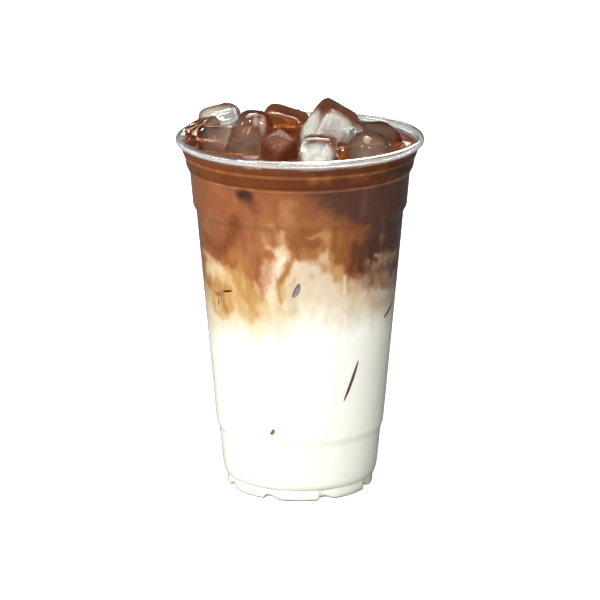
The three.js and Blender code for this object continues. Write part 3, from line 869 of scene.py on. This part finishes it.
def layersAt(height, angle, turn, up, noise):
    # how milky and amber the layers are, and how dark with painted shade, before any swirl
    foot, top = between(turn, coffeeFeet), between(turn, milkTops)
    thin = (foot - up - noise["fingers"]) / (foot - top)
    drift = noise["broad"] + mixing["fineDrift"] * noise["fine"]
    milky = mixing["coffeeTone"] + mixing["toneDrift"] * drift
    milky = milky + (mixing["creamTone"] - milky) * smoothStep(0, 1, thin)
    milky += (1 - milky) * smoothStep(*mixing["milkFrom"], thin)
    # the amber is the drink's own; its extra strength on the lit left is a painted glow of light through the
    # drink
    near, far = mixing["litAmberSpan"]
    leftward = smoothStep(*near, turn) * smoothStep(*far, turn)
    amber = np.exp(-((thin - mixing["amberAt"]) / mixing["amberReach"]) ** 2)
    amber *= mixing["amberShare"] + mixing["litAmberShare"] * leftward
    # painted shade on the side away from the key light
    past = turn + mixing["darkRagged"] * noise["fine"] - between(up, paintedShadeEdges)
    dark = smoothStep(-mixing["darkSoft"], mixing["darkSoft"], past) * smoothStep(*mixing["darkEnds"], angle)
    # above the low shoulder the drink is painted darker and more amber, as painted shade seen through the
    # plastic's shoulders, with less of the right's painted shade
    shoulder = smoothStep(-mixing["shoulderSoft"], mixing["shoulderSoft"], height - mixing["shoulderHeight"])
    milky += mixing["shoulderTone"] * shoulder
    amber += mixing["shoulderAmber"] * shoulder
    dark *= 1 + mixing["shoulderDark"] * shoulder
    return milky, amber, dark


def mixAt(points):
    # how milky and how amber the drink is at points given in mm, and how dark with painted shade
    names = ("broad", "lift", "fine", "rise", "fingers", "grain", "ragged")
    noise = {name: noiseOf(name, points) for name in names}
    noise["fingers"] *= mixing["fingerHeight"]
    ragged = mixing["ragged"] * noise["ragged"]
    height = points[:, 2]
    angle = np.degrees(np.arctan2(points[:, 0], -points[:, 1]))
    across = angle * mixing["degreeWidth"]
    across = across + mixing["broadPush"] * noise["broad"] + mixing["finePush"] * noise["fine"]
    up = height + mixing["liftPush"] * noise["lift"] + mixing["risePush"] * noise["rise"]
    tones = layersAt(height, angle, across / mixing["degreeWidth"], up, noise)
    for route, wide, soft, *swirlTones, strength in swirls.values():
        distance = strokeDistance(across, up, route)
        share = strength * smoothStep(wide + soft, max(wide - soft, 0), distance + ragged * soft)
        for value, tone in zip(tones, swirlTones):
            value += (tone - value) * share
    # painted highlight lines at the shoulders' corners
    patchy = np.clip(mixing["cornerShare"] + mixing["cornerPatchy"] * noise["fine"], 0, 1)
    for corner in mixing["cornerHeights"]:
        lit = np.exp(-((height - corner) / mixing["cornerWide"]) ** 2) * patchy
        for value, tone in zip(tones, mixing["cornerHighlightTones"]):
            value += (tone - value) * lit
    milky = tones[0]
    blend = np.exp(-((height - mixing["grainHeight"]) / mixing["grainReach"]) ** 2)
    milky += blend * mixing["grain"] * (noise["grain"] + mixing["grainFine"] * noise["fine"])
    whiteFrom, whiteTo = (mixing["whiteBelow"] + side * mixing["whiteSoft"] for side in (1, -1))
    milky += (1 - milky) * smoothStep(whiteFrom, whiteTo, height + noise["fingers"])
    return [np.clip(value, 0, 1) for value in tones]


# the drink's colour by how milky it is, for plain and amber parts, and for dark ones in painted shade
latteTones = {
    "coffee": [(0.0, "#24100a"), (0.1, "#4e2618"), (0.2, "#743f24"), (0.34, "#8a5233"), (0.46, "#a8714a"),
               (0.60, "#c29676"), (0.74, "#d2bba0"), (0.86, "#dacbb2"), (0.93, "#ece4d4"), (1.0, "#fbf9ef")],
    "amber": [(0.0, "#4a220c"), (0.22, "#743c16"), (0.36, "#8e5828"), (0.5, "#a87a44"), (0.62, "#bd965e"),
              (0.75, "#d0b888"), (0.88, "#e6dac0"), (1.0, "#fbf9ef")],
    # tones of painted shade
    "dusk": [(0.0, "#20120e"), (0.1, "#3a221a"), (0.2, "#4c2e24"), (0.34, "#54342a"), (0.46, "#74584a"),
             (0.60, "#988070"), (0.74, "#bfae9c"), (0.86, "#d8ccb8"), (1.0, "#fbf9ef")],
    "cloudScale": 420.0,
    "cloudShare": 0.06,
}
# roughness and gloss of each of the drink's faces
latteSkins = {
    "latte through plastic": (0.5, 0.0),
    "open latte": (0.06, 0.36),
    "latte round ice": (0.6, 0.0),
}


def latteColourGroup():
    # colour of the drink from how milky and amber it is, darkened by painted shade
    group = bpy.data.node_groups.new("latte colour", "ShaderNodeTree")
    for name in ("Cloud Scale", "Cloud Share"):
        group.interface.new_socket(name, in_out="INPUT", socket_type="NodeSocketFloat")
    group.interface.new_socket("Color", in_out="OUTPUT", socket_type="NodeSocketColor")
    enter = addNode(group, "NodeGroupInput")
    leave = addNode(group, "NodeGroupOutput")
    milky, amber, dark = (addNode(group, "ShaderNodeAttribute", attribute_name=name)
                          for name in ("milky", "amber", "dark"))
    place = addNode(group, "ShaderNodeTexCoord")
    cloud = addNode(group, "ShaderNodeTexNoise", Detail=3.0, Roughness=0.6)
    link(group, place.outputs["Object"], cloud.inputs["Vector"])
    link(group, enter.outputs["Cloud Scale"], cloud.inputs["Scale"])
    centred = addNode(group, "ShaderNodeMath", operation="SUBTRACT")
    centred.inputs[1].default_value = 0.5
    link(group, cloud.outputs["Fac"], centred.inputs[0])
    share = addNode(group, "ShaderNodeMath", operation="MULTIPLY_ADD")
    link(group, centred.outputs[0], share.inputs[0])
    link(group, enter.outputs["Cloud Share"], share.inputs[1])
    link(group, milky.outputs["Fac"], share.inputs[2])
    tone = None
    for key, amount in (("coffee", None), ("amber", amber), ("dusk", dark)):
        ramp = rampOf(group, latteTones[key])
        link(group, share.outputs[0], ramp.inputs["Fac"])
        if tone is None:
            tone = ramp.outputs["Color"]
            continue
        blend = addNode(group, "ShaderNodeMix", data_type="RGBA")
        link(group, amount.outputs["Fac"], blend.inputs["Factor"])
        link(group, tone, blend.inputs["A"])
        link(group, ramp.outputs["Color"], blend.inputs["B"])
        tone = blend.outputs["Result"]
    link(group, tone, leave.inputs["Color"])
    return group


def latteMaterial(name, colours):
    roughness, gloss = latteSkins[name]
    material = newMaterial(name)
    tree = material.node_tree
    colour = addNode(tree, "ShaderNodeGroup", node_tree=colours)
    colour.inputs["Cloud Scale"].default_value = latteTones["cloudScale"]
    colour.inputs["Cloud Share"].default_value = latteTones["cloudShare"]
    body = addNode(tree, "ShaderNodeBsdfPrincipled", IOR=1.34, Roughness=roughness)
    body.inputs["Specular IOR Level"].default_value = gloss
    link(tree, colour.outputs["Color"], body.inputs["Base Color"])
    out = addNode(tree, "ShaderNodeOutputMaterial")
    link(tree, body.outputs[0], out.inputs["Surface"])
    return material


def drinkOutline():
    inset = cup["wall"] - drink["intoWall"]
    side = insetLine(fineWall, inset)
    edge = float(np.interp(drink["level"], side[:, 1], side[:, 0]))
    side = side[(side[:, 1] > inset + 0.1) & (side[:, 1] < drink["level"])]
    lows = np.arange(side[0][1], drink["plainBelow"], drink["plainStep"])
    highs = np.arange(drink["plainBelow"], side[-1][1], drink["rowStep"])
    heights = np.unique(np.round(np.concatenate([side[:, 1], lows, highs]), 3))
    keep = [heights[0]]
    for height in heights[1:]:
        if height - keep[-1] > drink["leastRow"]:
            keep.append(height)
    radii = np.interp(keep, side[:, 1], side[:, 0])
    rings = np.arange(edge, drink["topStep"] * 0.6, -drink["topStep"])
    close = [edge - distance for distance in drink["edgeRings"]]
    top = []
    for radius in np.unique(np.round(np.concatenate([rings, close]), 3))[::-1]:
        climb = drink["wallClimb"] * math.exp((radius - edge) / drink["climbWidth"])
        top.append((radius, drink["level"] + climb))
    bottom = roundedLine(footFloor(inset, 0.2), cup["footRounding"])
    return bottom + list(zip(radii, keep)) + top + [(0, drink["level"])]


def sliverPlace(name):
    # middle of a sliver on the drink's side, with its long, short and inward directions
    ends = []
    for turn, height in slivers[name]["ends"]:
        radius = float(wallRadiusAt(height, cup["wall"] - drink["intoWall"]))
        ends.append(Vector(roundAxis(radius, math.radians(turn), height)))
    middle, along = (ends[0] + ends[1]) / 2, ends[1] - ends[0]
    inward = Vector((-middle.x, -middle.y, 0)).normalized()
    across = inward.cross(along).normalized()
    return middle, along, across, inward


def sliverShape(name, grow=0.0):
    width, depth = slivers[name]["halfWidth"], slivers[name]["depth"]
    middle, along, across, inward = sliverPlace(name)
    points = cubePoints / np.linalg.norm(cubePoints, axis=1, keepdims=True)
    bow = sliverMaking["bow"] * width * (1 - points[:, 0] ** 2)
    points = (points[:, :1] * (along.length / 2 + grow) * np.array(along.normalized())
              + (points[:, 1:2] * (width + grow) + bow[:, None]) * np.array(across)
              + points[:, 2:] * (depth + grow) * np.array(inward) + np.array(middle))
    return makePiece(name, points, cubeFaces)


def joined(name, pieces, inset=0.0):
    # one mesh of several pieces that don't touch, each drawn in by the inset
    points, faces = [], []
    for piece in pieces:
        first = len(points)
        points += list(meshPoints(piece) - meshNormals(piece) * inset)
        faces += [[first + v for v in face.vertices] for face in piece.data.polygons]
    return makePiece(name, points, faces)


def makeSlivers():
    shapes = [sliverShape(name, drink["intoIce"]) for name in slivers]
    piece = joined("sunkenIce", shapes)
    for shape in shapes:
        discard(shape)
    points = meshPoints(piece)
    outer = wallRadiusAt(points[:, 2], cup["wall"] - drink["intoWall"])
    shrink = np.minimum(outer / np.hypot(points[:, 0], points[:, 1]), 1)
    movePoints(piece, points * np.stack([shrink, shrink, np.ones(len(points))], -1))
    smoothPiece(piece)
    dress(piece, glassMaterial("sunken ice", {**iceLooks, **sunkenLooks}),
          glassMaterial("violet ice", {**iceLooks, **violetLooks}))
    violet = np.repeat([name in violetLooks["slivers"] for name in slivers], len(cubeFaces))
    piece.data.polygons.foreach_set("material_index", violet.astype(np.int32))
    print("sunken ice made:", len(slivers), "slivers")
    return finishPiece(piece, "ice")


bubbles = {
    "count": 46, "sizes": (0.25, 0.75), "rings": 7, "segments": 12,
    "clusters": (-64, -38, -2, 22, 41, 75, 140, 215),   # degrees round the wall where they gather
    "spread": 7.0, "fromWall": 0.5, "above": 0.55,
    "smallShare": 0.6,      # size of every third bubble against the others
    "sunk": 0.3,            # share of its radius that a bubble lies below the drink's edge
}


def makeBubbles():
    # small clear bubbles that gather along the drink's edge
    draw = np.random.default_rng(41)
    pieces = []
    edge = float(wallRadiusAt(drink["level"], cup["wall"]))
    for k in range(bubbles["count"]):
        radius = draw.uniform(*bubbles["sizes"]) * (1 if k % 3 else bubbles["smallShare"])
        cluster = bubbles["clusters"][k % len(bubbles["clusters"])]
        turn = math.radians(cluster + draw.normal(0, bubbles["spread"]))
        away = edge - radius - abs(draw.normal(0, bubbles["fromWall"]))
        low = drink["level"] + bubbles["above"] - radius * bubbles["sunk"]
        arc = [roundAxis(radius, a, 0)[:2] for a in np.linspace(0, np.pi, bubbles["rings"])]
        arc[0], arc[-1] = (0, -radius), (0, radius)
        ball = turnedPiece("bubble", arc, bubbles["segments"])
        movePoints(ball, meshPoints(ball) + np.array(roundAxis(away, turn, low)))
        pieces.append(ball)
    piece = joined("edgeBubbles", pieces)
    for ball in pieces:
        discard(ball)
    smoothPiece(piece)
    dress(piece, glassMaterial("bubble skin", {**iceLooks, "bend": 1.15, "gloss": 0.8}))
    print("bubbles made:", bubbles["count"])
    return finishPiece(piece, "coffee")


def iceClimbAt(points, ice):
    # how far the open top creeps up the ice beside it
    graph = bpy.context.evaluated_depsgraph_get()
    trees = [BVHTree.FromObject(cube, graph) for cube in ice.values()]
    reach = drink["climbWidth"] * 4
    lift = np.zeros(len(points))
    for i in np.nonzero(points[:, 2] > drink["level"] - 0.001)[0]:
        at = Vector((points[i] * mm).tolist())
        for tree in trees:
            near, normal, _, distance = tree.find_nearest(at, reach * mm)
            if near is not None:
                outside = (at - near).dot(normal) > 0
                gap = distance / mm if outside else 0
                lift[i] = max(lift[i], drink["iceClimb"] * math.exp(-gap / drink["climbWidth"]))
    return lift


def toneOpenTop(points, inside, tones):
    # the open top and the hollows round the ice have tones of their own, with a share of painted shade
    lowest = drink["level"] - drink["openDepth"]
    bare = smoothStep(*drink["openFrom"], inside) * smoothStep(lowest - 1, lowest + 1, points[:, 2])
    deep = smoothStep(*drink["deepFrom"], drink["level"] - points[:, 2])
    bend = drink["swirlBend"] * noiseOf("drift", points)[:, None]
    swirl = fractalAt(points / np.array(drink["swirlSize"]) + bend, 67)
    looks = zip(tones, drink["openTones"], drink["openSwirl"], drink["deepTones"])
    for value, openValue, change, deepValue in looks:
        shown = openValue + change * swirl
        value += (shown + (deepValue - shown) * deep - value) * bare
        np.clip(value, 0, 1, out=value)


# the drink behind each sunken sliver, its dark share painted shade in the hollow
def toneSlivers(points, inside, tones):
    for name, sliver in slivers.items():
        middle, along, *_ = sliverPlace(name)
        reach = along.length / 2 + sliverMaking["toneReach"]
        near = np.linalg.norm(points - np.array(middle), axis=1) < reach
        for value, behind in zip(tones, sliver["behind"]):
            value += (behind - value) * near * smoothStep(*sliverMaking["toneEdge"], inside)


def latteFaces(piece):
    # 0 where plastic covers the drink, 1 on its open top, 2 in the hollows round the ice
    centres = np.array([face.center for face in piece.data.polygons]) / mm
    upward = np.array([face.normal.z for face in piece.data.polygons])
    inside = wallRadiusAt(centres[:, 2], cup["wall"]) - np.hypot(centres[:, 0], centres[:, 1])
    bare = (inside > drink["openIn"]) & (centres[:, 2] > drink["level"] - drink["openDepth"])
    below = centres[:, 2] < drink["level"] - drink["hollowDrop"]
    hollow = bare & (below | (upward < drink["hollowSlope"]))
    return bare.astype(np.int32) + hollow


def makeDrink(ice):
    piece = turnedPiece("latte", drinkOutline(), drink["segments"], cup["notchAngle"])
    points = lobeFoot(meshPoints(piece))
    points[:, 2] += iceClimbAt(points, ice)
    movePoints(piece, points)
    sunken = [sliverShape(name) for name in slivers]
    cutters = [joined("iceCutter", ice.values(), drink["intoIce"]), joined("sliverCutter", sunken)]
    for shape in sunken:
        discard(shape)
    for cutter in cutters:
        joinOrCut(piece, cutter, "DIFFERENCE")
        discard(cutter)
    points = meshPoints(piece)
    inside = wallRadiusAt(points[:, 2], cup["wall"]) - np.hypot(points[:, 0], points[:, 1])
    tones = mixAt(points)
    toneOpenTop(points, inside, tones)
    toneSlivers(points, inside, tones)
    for key, values in zip(("milky", "amber", "dark"), tones):
        layer = piece.data.attributes.new(key, "FLOAT", "POINT")
        layer.data.foreach_set("value", values.astype(np.float32))
    colours = latteColourGroup()
    dress(piece, *[latteMaterial(name, colours) for name in latteSkins])
    piece.data.polygons.foreach_set("material_index", latteFaces(piece))
    smoothPiece(piece, drink["sharpFrom"])
    print("drink made:", len(piece.data.vertices), "points")
    return finishPiece(piece, "coffee", "milk", "coffee")


# Studio
studio = {
    "cameraAt": (0, -1.2, 0.4088),
    "cameraPitch": 15.538,
    "lens": 187.0,
    "roomLight": 0.14,      # the room as scattering surfaces meet it
    "roomGloss": 0.12,      # the room near the horizon as gloss mirrors it
    "ceilingGloss": 14.0,   # the bright panel overhead as gloss mirrors it
    "ceilingFrom": (0.88, 0.95),
    "roomTone": (1.0, 0.95, 0.82),     # warmth of what the room lights, against its plain white
    "roomSeen": 1.0,        # the room seen straight or through clear stuff
    "floorSeen": 0.95,
    "floorLight": 0.36,     # how much of its light the floor sends back to scattering surfaces
    "floorGloss": 0.08,     # and to gloss
    "floorGlow": 0.5,
    "floorReach": 3000,     # mm
    "aim": (0, 0, 0.09),
    # degrees round from the front (left is negative), degrees up, metres away, side in metres, watts,
    # whether it lights matt surfaces, and whether gloss mirrors it
    "lamps": {
        "keySoftbox": (-9, 26, 1.3, 0.45, 20.0, True, False),
        "leftSoftbox": (-85, 25, 1.3, 0.5, 11.5, True, False),
        "backSoftbox": (168, 30, 1.3, 0.5, 9.0, True, False),
        "topSoftbox": (170, 74, 1.2, 0.38, 9.0, True, True),
        "sparkLeft": (-60, 42, 1.3, 0.26, 12.0, False, True),
        "sparkRight": (22, 42, 1.3, 0.26, 12.0, False, True),
    },
}


def makeCamera():
    camera = bpy.data.objects.new("camera", bpy.data.cameras.new("camera"))
    camera.data.lens = studio["lens"]
    camera.data.sensor_width = 36
    camera.location = studio["cameraAt"]
    camera.rotation_euler = (math.radians(90 - studio["cameraPitch"]), 0, 0)
    scene.collection.objects.link(camera)
    scene.camera = camera


def makeLamps():
    for name, (around, above, away, size, power, lights, mirrored) in studio["lamps"].items():
        turn, rise = math.radians(around), math.radians(above)
        towards = Vector(roundAxis(math.cos(rise), turn, math.sin(rise)))
        lamp = bpy.data.objects.new(name, bpy.data.lights.new(name, "AREA"))
        lamp.data.shape = "SQUARE"
        lamp.data.size = size
        lamp.data.energy = power
        lamp.location = Vector(studio["aim"]) + towards * away
        lamp.rotation_euler = towards.to_track_quat("Z", "Y").to_euler()
        lamp.visible_diffuse, lamp.visible_glossy = lights, mirrored
        scene.collection.objects.link(lamp)


def makeRoom():
    world = bpy.data.worlds.new("studio")
    world.use_nodes = True
    tree = world.node_tree
    tree.nodes.clear()
    path = addNode(tree, "ShaderNodeLightPath")
    out = addNode(tree, "ShaderNodeOutputWorld")
    glow = addNode(tree, "ShaderNodeBackground")
    mirrored = addNode(tree, "ShaderNodeMix", data_type="FLOAT")
    mirrored.inputs["A"].default_value = studio["roomSeen"]
    place = addNode(tree, "ShaderNodeTexCoord")
    parts = addNode(tree, "ShaderNodeSeparateXYZ")
    link(tree, place.outputs["Generated"], parts.inputs[0])
    ceiling = addNode(tree, "ShaderNodeMapRange", interpolation_type="SMOOTHSTEP")
    starts, ends = studio["ceilingFrom"]
    for key, value in (("From Min", starts), ("From Max", ends),
                       ("To Min", studio["roomGloss"]), ("To Max", studio["ceilingGloss"])):
        ceiling.inputs[key].default_value = value
    link(tree, parts.outputs["Z"], ceiling.inputs["Value"])
    link(tree, ceiling.outputs["Result"], mirrored.inputs["B"])
    link(tree, path.outputs["Is Glossy Ray"], mirrored.inputs["Factor"])
    scattered = addNode(tree, "ShaderNodeMix", data_type="FLOAT")
    scattered.inputs["B"].default_value = studio["roomLight"]
    link(tree, mirrored.outputs["Result"], scattered.inputs["A"])
    link(tree, path.outputs["Is Diffuse Ray"], scattered.inputs["Factor"])
    link(tree, scattered.outputs["Result"], glow.inputs["Strength"])
    unseen = addNode(tree, "ShaderNodeMath", operation="MAXIMUM")
    link(tree, path.outputs["Is Diffuse Ray"], unseen.inputs[0])
    link(tree, path.outputs["Is Glossy Ray"], unseen.inputs[1])
    tone = addNode(tree, "ShaderNodeMix", data_type="RGBA")
    tone.inputs["A"].default_value = (1, 1, 1, 1)
    tone.inputs["B"].default_value = (*studio["roomTone"], 1)
    link(tree, unseen.outputs[0], tone.inputs["Factor"])
    link(tree, tone.outputs["Result"], glow.inputs["Color"])
    link(tree, glow.outputs[0], out.inputs["Surface"])
    scene.world = world


def makeFloor():
    reach = studio["floorReach"]
    corners = [(-reach, -reach, 0), (reach, -reach, 0), (reach, reach, 0), (-reach, reach, 0)]
    floor = makePiece("floor", corners, [(0, 1, 2, 3)])
    material = newMaterial("pale floor")
    tree = material.node_tree
    path = addNode(tree, "ShaderNodeLightPath")
    shades = []
    for seen, mirrored, scattered in ((studio["floorSeen"], studio["floorGloss"], studio["floorLight"]),
                                      (studio["floorGlow"], 0.0, 0.0)):
        tone = addNode(tree, "ShaderNodeMix", data_type="RGBA")
        tone.inputs["A"].default_value = (seen, seen, seen, 1)
        tone.inputs["B"].default_value = (mirrored, mirrored, mirrored, 1)
        link(tree, path.outputs["Is Glossy Ray"], tone.inputs["Factor"])
        sent = addNode(tree, "ShaderNodeMix", data_type="RGBA")
        sent.inputs["B"].default_value = (scattered, scattered, scattered, 1)
        link(tree, tone.outputs["Result"], sent.inputs["A"])
        link(tree, path.outputs["Is Diffuse Ray"], sent.inputs["Factor"])
        shades.append(sent.outputs["Result"])
    body = addNode(tree, "ShaderNodeBsdfDiffuse")
    glow = addNode(tree, "ShaderNodeEmission")
    both = addNode(tree, "ShaderNodeAddShader")
    link(tree, shades[0], body.inputs["Color"])
    link(tree, shades[1], glow.inputs["Color"])
    link(tree, body.outputs[0], both.inputs[0])
    link(tree, glow.outputs[0], both.inputs[1])
    out = addNode(tree, "ShaderNodeOutputMaterial")
    link(tree, both.outputs[0], out.inputs["Surface"])
    dress(floor, material)


def setLightBounces():
    scene.view_settings.view_transform = "Standard"
    scene.cycles.max_bounces = 24
    scene.cycles.diffuse_bounces = 3
    scene.cycles.glossy_bounces = 6
    scene.cycles.transmission_bounces = 20
    scene.cycles.transparent_max_bounces = 32
    scene.cycles.caustics_reflective = False
    scene.cycles.caustics_refractive = False


makeCamera()
makeLamps()
makeRoom()
makeFloor()
setLightBounces()
print("studio made")
makeCup()
iceMade = makeIce()
makeFrostAndHighlights(iceMade)
makeDrink(iceMade)
makeSlivers()
makeBubbles()
